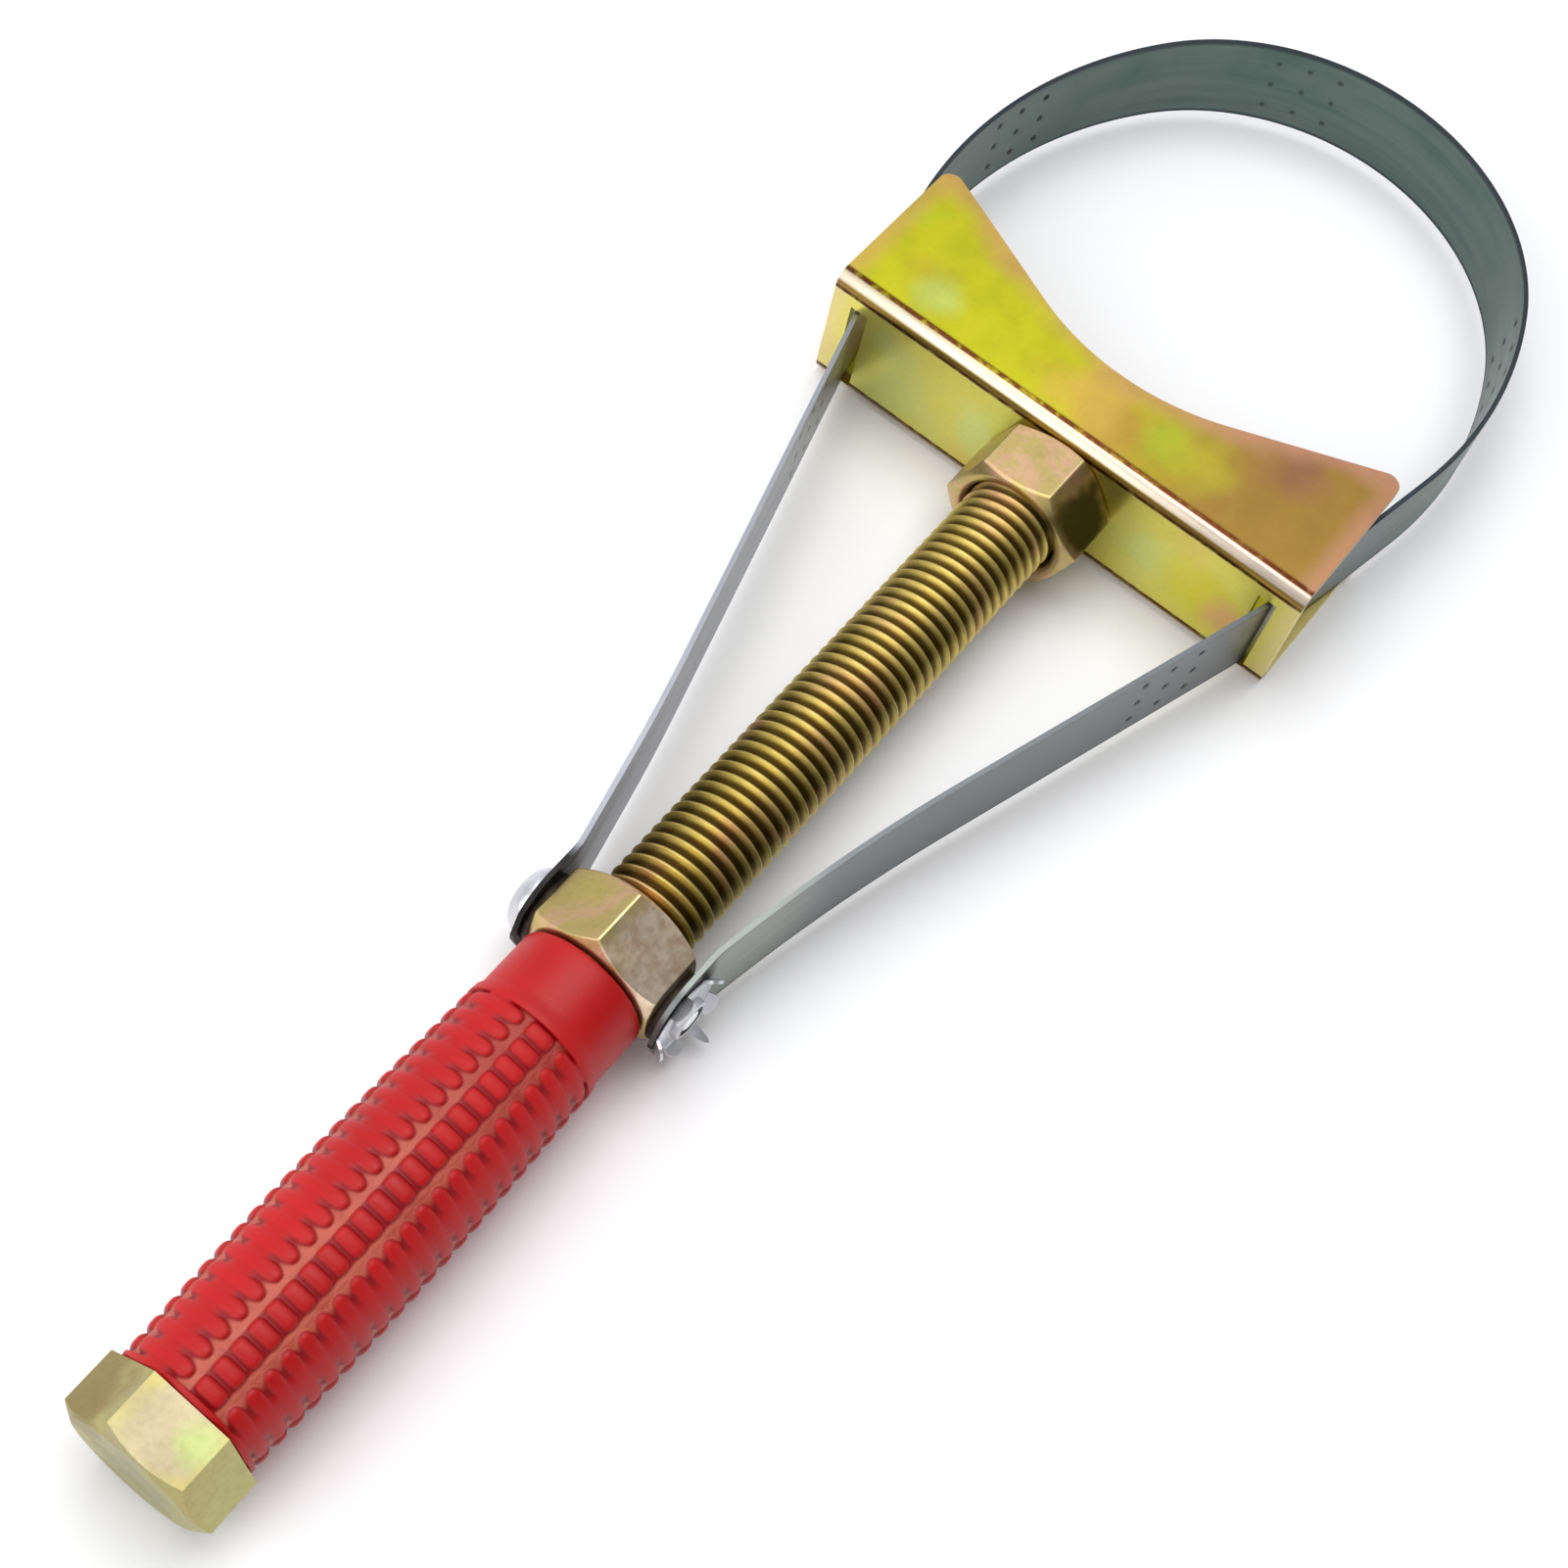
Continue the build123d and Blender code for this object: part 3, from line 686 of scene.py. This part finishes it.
def make_bolt():
    """Hexagon head, plain shank under the grip, helical thread and turned tip."""
    head = hexagon(head_back, head_bearing, HEAD_CORNER_DEG, chamfer_high=False)
    shank_start, shank_end = head_bearing - 2, THREAD_START + 1
    shank = [(shank_start, 0), (shank_start, SHANK_R), (shank_end, SHANK_R), (shank_end, 0)]
    core_start = THREAD_END - 1
    groove_start, groove_end = TIP_GROOVE_X
    tip = [(core_start, 0), (core_start, CORE_R), (SHOULDER_X, CORE_R), (SHOULDER_X, TIP_R)]
    tip += [(groove_start, TIP_R), (groove_start, TIP_GROOVE_R)]
    tip += [(groove_end, TIP_GROOVE_R), (groove_end, TIP_R)]
    tip += [(tip_end - TIP_CHAMFER, TIP_R), (tip_end, TIP_R - TIP_CHAMFER), (tip_end, 0)]
    bolt = joined(head, lathe_x(shank), thread(THREAD_START, THREAD_END), lathe_x(tip))
    piece = mesh_piece("handle_bolt_visual", *bolt, "bolt_zinc", 28)
    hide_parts("handle_bolt")
    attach(piece, "handle")


def grip_radius(x):
    """Radius over the studs: a collar in front, then a shallow barrel."""
    collar_end = grip_front - GRIP_COLLAR_LENGTH
    if x > collar_end:
        return GRIP_COLLAR_R
    share = (collar_end - x) / (collar_end - grip_back)
    straight = GRIP_SHOULDER_R + (GRIP_BACK_R - GRIP_SHOULDER_R) * share
    barrel = straight + GRIP_BELLY * math.sin(math.pi * share)
    return GRIP_COLLAR_R + (barrel - GRIP_COLLAR_R) * smooth((collar_end - x) / GRIP_STEP_LENGTH)


def pillow(inside):
    """Height share of a domed pad at a distance in from its edge."""
    share = min(max(inside / STUD_DOME, 0.0), 1.0)
    return 1 - (1 - share) ** 2


def grip_relief(x, degrees, radius):
    """Height and dust of the grip's skin: 1 high on a stud, rib or collar, 0 in the valleys between
    them; dust lies along the rows of studs and between the rib's teeth, not between studs."""
    studs_passed = (x - stud_start) / STUD_PITCH
    if studs_passed < 0 or studs_passed > STUD_COUNT:
        return 1.0, 0.0
    off_stud = abs(studs_passed % 1 - 0.5) * STUD_PITCH
    off_row = abs((degrees - STUD_ROW_DEG + 45) % 90 - 45)
    mm_per_degree = math.pi / 180 * radius
    half = (STUD_PITCH - STUD_GAP) / 2
    if off_row <= ROW_LINE_DEG:
        along = max(off_stud - half + STUD_CORNER_R, 0)
        aside = max((off_row - ROW_HALF_DEG) * mm_per_degree + STUD_CORNER_R, 0)
        stud = pillow(STUD_CORNER_R - math.hypot(along, aside))
        return stud, smooth((off_row - ROW_HALF_DEG + 2.0) / 2.0)
    into = (off_row - TOOTH_TIP_DEG) * mm_per_degree
    if into <= 0:
        return LINE_FLOOR, 1.0
    tip = half * math.sqrt(1 - (1 - min(into / TOOTH_ROUND, 1)) ** 2)
    groove = RIB_GROOVE * smooth((into - 2.4) / 2.4)
    tooth = pillow(min(tip - off_stud, into))
    return max(tooth, groove), (1 - smooth(tooth / 0.45)) * (1 - smooth((into - 0.9) / 1.6))


def make_grip():
    """Moulded sleeve: rows of separate studs between thin lines, with ribs that carry teeth."""
    xs = [stud_start - 0.3]
    for k in range(STUD_COUNT):
        xs += [stud_start + (k + part) * STUD_PITCH for part in STUD_SAMPLES]
    last = stud_start + STUD_COUNT * STUD_PITCH
    collar_start = last + 0.5
    xs += [last, collar_start]
    xs += [collar_start + (grip_front - GRIP_LIP - collar_start) * k / 12 for k in range(1, 13)]
    half_rows = [-v for v in reversed(ROW_SAMPLES[1:])] + list(ROW_SAMPLES) + [45]
    back_r, front_r = grip_radius(xs[0]), grip_radius(grip_front)
    rear = [(grip_back, GRIP_BORE_R), (grip_back, back_r - 0.5), (grip_back + 0.25, back_r - 0.1)]
    front = [(grip_front - 0.35, front_r - 0.12), (grip_front - 0.08, front_r - 0.4)]
    front += [(grip_front, front_r - GRIP_LIP), (grip_front, GRIP_BORE_R)]
    profiles, heights, dusts = [], [], []
    for angle_deg in [STUD_ROW_DEG + 90 * quarter + v for quarter in range(4) for v in half_rows]:
        skin, relief, dust = [], [], []
        for x in xs:
            radius = grip_radius(x)
            share, dusty = grip_relief(x, angle_deg, radius)
            skin.append((x, radius - STUD_DEPTH * (1 - share)))
            relief.append(share)
            dust.append(dusty)
        outline = rear + skin + front
        profiles.append([around_x(x, r, math.radians(angle_deg)) for x, r in outline])
        heights += [1.0] * len(rear) + relief + [1.0] * len(front)
        dusts += [0.0] * len(rear) + dust + [0.0] * len(front)
    skin_marks = {"relief": heights, "dust": dusts}
    piece = mesh_piece("grip_visual", *rings(profiles), "red_grip", 60, skin_marks)
    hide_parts("grip_sleeve")
    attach(piece, "handle")


# ---- nut and socket ------------------------------------------------------------------------------
def make_hexagons():
    """The travelling nut, and the hexagon on the back of the saddle."""
    nut = hexagon(nut_back, nut_front, NUT_CORNER_DEG, NUT_BORE_R)
    socket = hexagon(socket_back, 0, SOCKET_CORNER_DEG, SOCKET_BORE_R)
    for name, shape, node, body in (
        ("travelling_nut_visual", nut, "travelling_nut", "nut_carriage"),
        ("socket_hex_visual", socket, "socket_hex", "saddle"),
    ):
        piece = mesh_piece(name, *shape, "nut_zinc", 28)
        bevel(piece, 0.45, 3)
        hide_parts(node)
        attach(piece, body)


# ---- band ----------------------------------------------------------------------------------------
def direction(angle):
    """Unit vector in plan at an angle from +X."""
    return Vector((math.cos(angle), math.sin(angle)))


def bearing(centre, point):
    """Angle from +X of a plan point seen from a centre."""
    return math.atan2(point.y - centre.y, point.x - centre.x)


def arc_points(centre, radius, first, last, step=2.5):
    """Points of an arc in plan, evenly spaced about step millimetres apart."""
    count = max(2, round(abs(last - first) * radius / step))
    return [centre + direction(first + (last - first) * k / count) * radius for k in range(count + 1)]


def loop_half(side):
    """Plan points from the slot to the loop's tip: a straight run, a flat arc and the tip arc."""
    half_width = (band_high.y - band_low.y - BAND_THICK) / 2
    flat_r = LOOP_SIDE_R[side]
    rise = flat_r + side * LOOP_TIP_CENTRE.y - half_width
    join = side * math.asin(rise / (flat_r - LOOP_TIP_R))
    centre = LOOP_TIP_CENTRE + direction(join) * (LOOP_TIP_R - flat_r)
    slot = Vector((0, side * SLOT_Y))
    reach = (slot - centre).length
    touch = bearing(centre, slot) - side * math.acos(flat_r / reach)
    flat = arc_points(centre, flat_r, touch, join)
    tip = arc_points(LOOP_TIP_CENTRE, LOOP_TIP_R, join, 0)
    return [slot] + flat + tip[1:]


def rounded(points, radii):
    """A plan polyline with an arc at each inner corner."""
    out = [Vector(points[0])]
    for before, corner, after, radius in zip(points, points[1:], points[2:], radii):
        corner = Vector(corner)
        back = (Vector(before) - corner).normalized()
        ahead = (Vector(after) - corner).normalized()
        half = back.angle(ahead) / 2
        reach = radius / math.tan(half)
        centre = corner + (back + ahead).normalized() * radius / math.sin(half)
        first = bearing(centre, corner + back * reach)
        last = bearing(centre, corner + ahead * reach)
        last = first + (last - first + math.pi) % (2 * math.pi) - math.pi
        out += arc_points(centre, radius, first, last, 0.8 if radius < 20 else 4)
    return out + [Vector(points[-1])]


def leg_plan(side):
    """Plan points of one leg from its end on the nut to the slot."""
    knee = KNEE[side]
    slope = (SLOT_Y - knee[1]) / -knee[0]
    points = [(tab_end, tab_y), (tab_front, tab_y), knee, (slot_x, SLOT_Y + slope * slot_x)]
    return rounded([(x, side * y) for x, y in points], [TAB_BEND_R, KNEE_R])


class Route:
    """A plan line that can be read at any length along it."""

    def __init__(self, points):
        self.points = points
        self.runs = [0.0]
        for a, b in zip(points, points[1:]):
            self.runs.append(self.runs[-1] + (b - a).length)
        self.length = self.runs[-1]

    def read(self, run):
        """Point and left-hand normal at a length, the normal turning smoothly between points."""
        k = max(i for i, start in enumerate(self.runs[:-1]) if start <= max(run, 0))
        share = (run - self.runs[k]) / (self.runs[k + 1] - self.runs[k])
        point = self.points[k].lerp(self.points[k + 1], share)
        tangent = self.tangent(k).lerp(self.tangent(k + 1), share).normalized()
        return point, Vector((-tangent.y, tangent.x))

    def tangent(self, k):
        """Direction at one of the line's points, from the points on either side."""
        low, high = max(k - 1, 0), min(k + 1, len(self.points) - 1)
        return (self.points[high] - self.points[low]).normalized()

    def at_x(self, x):
        """Length along the line where it first passes x."""
        for k, (a, b) in enumerate(zip(self.points, self.points[1:])):
            if (a.x - x) * (b.x - x) <= 0 and a.x != b.x:
                return self.runs[k] + (x - a.x) / (b.x - a.x) * (b - a).length
        return self.length


def dimple(run, z, groups):
    """Depth share of the pressed dimples at a place of the band: three by three in a group."""
    deepest = 0.0
    for middle, strength in groups:
        if abs(run - middle) > DIMPLE_PITCH[0] + DIMPLE_R:
            continue
        for i in (-1, 0, 1):
            for j in (-1, 0, 1):
                away = math.hypot(run - middle - i * DIMPLE_PITCH[0], z - j * DIMPLE_PITCH[1])
                deepest = max(deepest, strength * smooth((DIMPLE_R - away) / (DIMPLE_R * 0.8)))
    return deepest


def band_runs(start, end, groups):
    """Lengths along the band at which it gets a profile, close together at the dimples."""
    runs, run = [], start
    while run < end - 1e-6:
        runs.append(run)
        near_group = any(abs(run - m) < DIMPLE_PITCH[0] + DIMPLE_R + 0.8 for m, _ in groups)
        run += FINE_STEP if near_group else COARSE_STEP
    return runs + [end]


def band_strip(name, route, start, end, groups, outside, shade_end=-10.0, half_width=None):
    """A piece of band from start to end along its route, with pressed dimples.
    groups are pairs, a dimple group's middle and strength; outside is the normal's sign outwards;
    the band is painted black as shade from the route's start to the length passed before half_width;
    half_width is a function of the length."""
    half_steps = 23 if groups else 5
    rows = [band_half * k / half_steps for k in range(-half_steps, half_steps + 1)]
    profiles, pits, rims, shade_marks = [], [], [], []
    for run in band_runs(start, end, groups):
        point, normal = route.read(run)
        half = half_width(run) if half_width else band_half
        # share of painted shade, black near the band's end
        black = smooth((shade_end - run) / 3 + 0.5)
        profile = []
        for face in (1, -1):
            for z in rows if face > 0 else rows[::-1]:
                depth = dimple(run, z, groups)
                pressed = DIMPLE_DEPTH * depth * (1 if face == outside else DIMPLE_INSIDE)
                height = z * half / band_half
                if abs(z) > band_half - 1e-6:
                    height -= math.copysign(BAND_EDGE_CORNER, height)
                p = point + normal * face * (BAND_THICK / 2 - pressed)
                profile.append((p.x, p.y, band_z + height))
                pits.append(depth)
                rims.append(smooth((abs(z) - band_half + 0.9) / 0.7))
                shade_marks.append(black)
            for share in (BAND_EDGE_BURR, -BAND_EDGE_BURR):
                p = point + normal * face * share * BAND_THICK
                profile.append((p.x, p.y, band_z + face * half))
                pits.append(0.0)
                rims.append(1.0)
                shade_marks.append(black if outside > 0 else 0.0)
        profiles.append(profile)
    marks = {"pit": pits, "rim": rims, "soot": shade_marks}
    return mesh_piece(name, *tube(profiles), "band_steel", 40, marks)


def round_end(run):
    """Half width of the band's rounded end."""
    if run >= BAND_END_CORNER_R:
        return band_half
    short = math.sqrt(max(0.0, BAND_END_CORNER_R**2 - (BAND_END_CORNER_R - run) ** 2))
    return band_half - BAND_END_CORNER_R + short + 0.05


def make_band():
    """The loop, and on each side a leg and the rigid band end that lies on the nut."""
    left, right = loop_half(1), loop_half(-1)
    loop = Route(left + right[::-1][1:])
    groups = [*GROUPS_FROM_LEFT_SLOT, (loop.length - GROUP_FROM_RIGHT_SLOT, 1.0)]
    start = loop.at_x(slot_x)
    piece = band_strip("band_loop_visual", loop, start, loop.length - start, groups, 1)
    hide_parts("band_loop")
    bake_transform(piece)
    for side, word in ((1, "left"), (-1, "right")):
        leg = Route(leg_plan(side))
        split_x = tab_front + 3
        split = leg.at_x(split_x)
        shade_end = leg.at_x(tab_front - 1)
        tab = band_strip(f"band_tab_{word}", leg, 0, split, [], side, shade_end, round_end)
        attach(tab, "nut_carriage")
        groups = [(leg.length - GROUP_BEHIND_SLOT, 1.0)]
        strip = band_strip(f"band_leg_{word}_visual", leg, split, leg.length, groups, side, shade_end)
        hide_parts(f"band_leg_{word}")
        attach(strip, "saddle")
        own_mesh(strip)


# ---- band fasteners ------------------------------------------------------------------------------
def lathe_y(outline, side, steps=64):
    """A closed outline of (radius, distance from the bolt's axis) turned about a band screw."""
    profiles = []
    for k in range(steps):
        x, z = direction(2 * math.pi * k / steps)
        profiles.append([(nut_middle + r * x, side * y, band_z + r * z) for r, y in outline])
    return rings(profiles)


def make_dome_screw():
    """Large domed head on the left band end."""
    top = design_box("band_screw_left")[1].y
    outline = [(0, STEM_START), (STEM_R, STEM_START), (STEM_R, band_face)]
    outline += [(DOME_R - 0.2, band_face), (DOME_R, band_face + 0.15)]
    rise = top - band_face - DOME_SKIRT
    for k in range(15):
        angle = math.pi / 2 * k / 14
        height = DOME_SKIRT + rise * math.sin(angle) ** 0.85
        outline.append((DOME_R * math.cos(angle), band_face + height))
    piece = mesh_piece("dome_screw_visual", *lathe_y(outline, 1), "silver_zinc", 40)
    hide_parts("band_screw_left")
    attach(piece, "nut_carriage")


def make_button_screw():
    """Small round head with a ring-shaped groove, over the washer on the right band end."""
    base = band_face + WASHER_THICK
    top = -design_box("band_screw_right")[0].y
    outline = [(0, STEM_START), (STEM_R, STEM_START), (STEM_R, base), (BUTTON_R, base)]
    outline += [(BUTTON_R, top - 0.5), (3.68, top - 0.16), (3.4, top), (3.0, top), (2.85, top - 0.1)]
    outline += [(2.7, top - 0.4), (2.1, top - 0.4), (1.95, top - 0.2), (1.6, top - 0.06)]
    outline += [(0.9, top), (0, top)]
    piece = mesh_piece("button_screw_visual", *lathe_y(outline, -1), "silver_zinc", 40)
    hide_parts("band_screw_right")
    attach(piece, "nut_carriage")


def petal(angle_deg, root, length, width, lift_deg, point=0.4):
    """One tab of the lock washer: it leaves the disc flat at root, curls outwards by lift_deg and
    narrows to a round tip over the last part of its length, the share point."""
    steps, across = 12, 6
    out = Vector((math.cos(math.radians(angle_deg)), 0, math.sin(math.radians(angle_deg))))
    aside = Vector((-out.z, 0, out.x))
    at, height, profiles = root, band_face + 0.05, []
    for k in range(steps + 1):
        share = k / steps
        lift = math.radians(lift_deg) * smooth(share / 0.45)
        if k:
            at += math.cos(lift) * length / steps
            height += math.sin(lift) * length / steps
        taper = math.sqrt(max(0.0, 1 - max(0.0, (share - 1 + point) / point) ** 2))
        half = max(width / 2 * taper, 0.06)
        normal = Vector((0, 1, 0)) * math.cos(lift) - out * math.sin(lift)
        profile = []
        for level, order in ((0, range(across + 1)), (PETAL_THICK, range(across, -1, -1))):
            for j in order:
                offset = aside * half * (2 * j / across - 1)
                p = out * at + Vector((0, height, 0)) + normal * level + offset
                profile.append((nut_middle + p.x, -p.y, band_z + p.z))
        profiles.append(profile)
    return tube(profiles)


def make_petal_washer():
    """Lock washer: a disc with five curled petals and one long pointed tail."""
    disc = [(WASHER_BORE_R, 0), (WASHER_R - 0.3, 0), (WASHER_R - 0.05, 0.12), (WASHER_R, 0.3)]
    disc += [(WASHER_R - 0.1, 0.5), (WASHER_R - 0.4, WASHER_THICK), (WASHER_BORE_R, WASHER_THICK)]
    shapes = [lathe_y([(r, band_face + y) for r, y in disc], -1)]
    for k in range(PETAL_COUNT):
        angle_deg = 180 + 360 / PETAL_COUNT * k
        shapes.append(petal(angle_deg, root=6.3, length=3.2, width=4.2, lift_deg=58))
    shapes.append(petal(-74, root=6.0, length=6.0, width=1.9, lift_deg=68, point=0.9))
    piece = mesh_piece("petal_washer_visual", *joined(*shapes), "silver_zinc", 50)
    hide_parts("tab_lock_washer")
    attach(piece, "nut_carriage")


# ---- carried-over CAD nodes ----------------------------------------------------------------------
def finish_cad_nodes():
    """Materials and narrow bevels for the pieces that are shown as the CAD meshes."""
    slots = {row["node"]: row["material_slot"] for row in frame["record"]["subparts"]}
    for node, width in (
        ("saddle_channel", 0.30),
        ("thrust_washer", 0.15),
        ("retaining_washer", 0.15),
        ("retaining_ring", 0.12),
        ("band_spacer_left", 0.12),
        ("band_spacer_right", 0.12),
    ):
        piece = frame["nodes"][node]
        piece.data.materials.clear()
        piece.data.materials.append(MATERIALS[slots[node]])
        weld = piece.modifiers.new("weld", "WELD")
        weld.merge_threshold = 0.001 * MM
        flats = piece.modifiers.new("flats", "DECIMATE")
        flats.decimate_type = "DISSOLVE"
        flats.angle_limit = math.radians(0.5)
        bevel(piece, width, 2, 35)


# ---- stage ---------------------------------------------------------------------------------------
def make_floor():
    """A wide pale floor at the height of the tool's lower side."""
    half, step = 6.0, 0.5
    count = round(2 * half / step)
    edge = [-half + k * step for k in range(count + 1)]
    verts = [(x, y, 0) for x in edge for y in edge]
    faces = []
    for i in range(count):
        for j in range(count):
            a = i * (count + 1) + j
            faces.append((a, a + count + 1, a + count + 2, a + 1))
    mesh = bpy.data.meshes.new("floor")
    mesh.from_pydata(verts, [], faces)
    floor = bpy.data.objects.new("floor", mesh)
    bpy.context.scene.collection.objects.link(floor)
    s = Shader("floor_paint")
    color = s.ramp(s.noise(3, 2, 0.5), [(0.3, (0.93, 0.93, 0.935)), (0.7, (0.95, 0.95, 0.95))])
    mesh.materials.append(s.finish(color, 0.85))


def make_light(name, place, size, power):
    """A rectangular area light that faces the tool's middle."""
    light = bpy.data.lights.new(name, "AREA")
    light.shape = "RECTANGLE"
    light.size, light.size_y = size
    light.energy = power
    lamp = bpy.data.objects.new(name, light)
    lamp.location = place
    lamp.rotation_euler = (-Vector(place)).to_track_quat("-Z", "Y").to_euler()
    bpy.context.scene.collection.objects.link(lamp)


def make_world():
    """Pale surroundings, darker low down on the -Y side, where the tool's shaded flanks look; the
    background itself is white."""
    world = bpy.data.worlds.new("studio")
    bpy.context.scene.world = world
    world.use_nodes = True
    tree = world.node_tree
    background = tree.nodes["Background"]
    place = tree.nodes.new("ShaderNodeTexCoord")
    split = tree.nodes.new("ShaderNodeSeparateXYZ")
    tree.links.new(place.outputs["Generated"], split.inputs["Vector"])
    side = tree.nodes.new("ShaderNodeMapRange")
    side.interpolation_type = "SMOOTHSTEP"
    side.inputs["From Min"].default_value = -0.75
    side.inputs["From Max"].default_value = 0.05
    tree.links.new(split.outputs["Y"], side.inputs["Value"])
    surroundings = tree.nodes.new("ShaderNodeMix")
    surroundings.data_type = "RGBA"
    surroundings.inputs[6].default_value = (0.26, 0.26, 0.27, 1)
    surroundings.inputs[7].default_value = (0.95, 0.96, 1.0, 1)
    tree.links.new(side.outputs["Result"], surroundings.inputs[0])
    path = tree.nodes.new("ShaderNodeLightPath")
    shown = tree.nodes.new("ShaderNodeMix")
    shown.data_type = "RGBA"
    shown.inputs[7].default_value = (1, 1, 1, 1)
    tree.links.new(path.outputs["Is Camera Ray"], shown.inputs[0])
    tree.links.new(surroundings.outputs[2], shown.inputs[6])
    tree.links.new(shown.outputs[2], background.inputs["Color"])
    background.inputs["Strength"].default_value = 0.75


def make_camera():
    """The main view: from above, behind and the -Y side, rolled so that the tool lies diagonally."""
    camera = bpy.data.cameras.new("camera")
    camera.lens = 59.72
    camera.sensor_width = 36.0
    eye = bpy.data.objects.new("camera", camera)
    eye.location = (-0.21931, -0.08214, 0.38650)
    eye.rotation_euler = [math.radians(a) for a in (28.221, -8.305, -52.382)]
    bpy.context.scene.collection.objects.link(eye)
    bpy.context.scene.camera = eye


bpy.context.scene.view_settings.view_transform = "Standard"
make_camera()
make_floor()
make_world()
make_light("overhead", (0.25, 0.10, 1.30), (1.2, 1.0), 11)
make_light("rear_left", (-1.00, 0.35, 0.70), (1.1, 1.1), 6)
make_bolt()
make_grip()
make_hexagons()
make_band()
make_dome_screw()
make_button_screw()
make_petal_washer()
finish_cad_nodes()
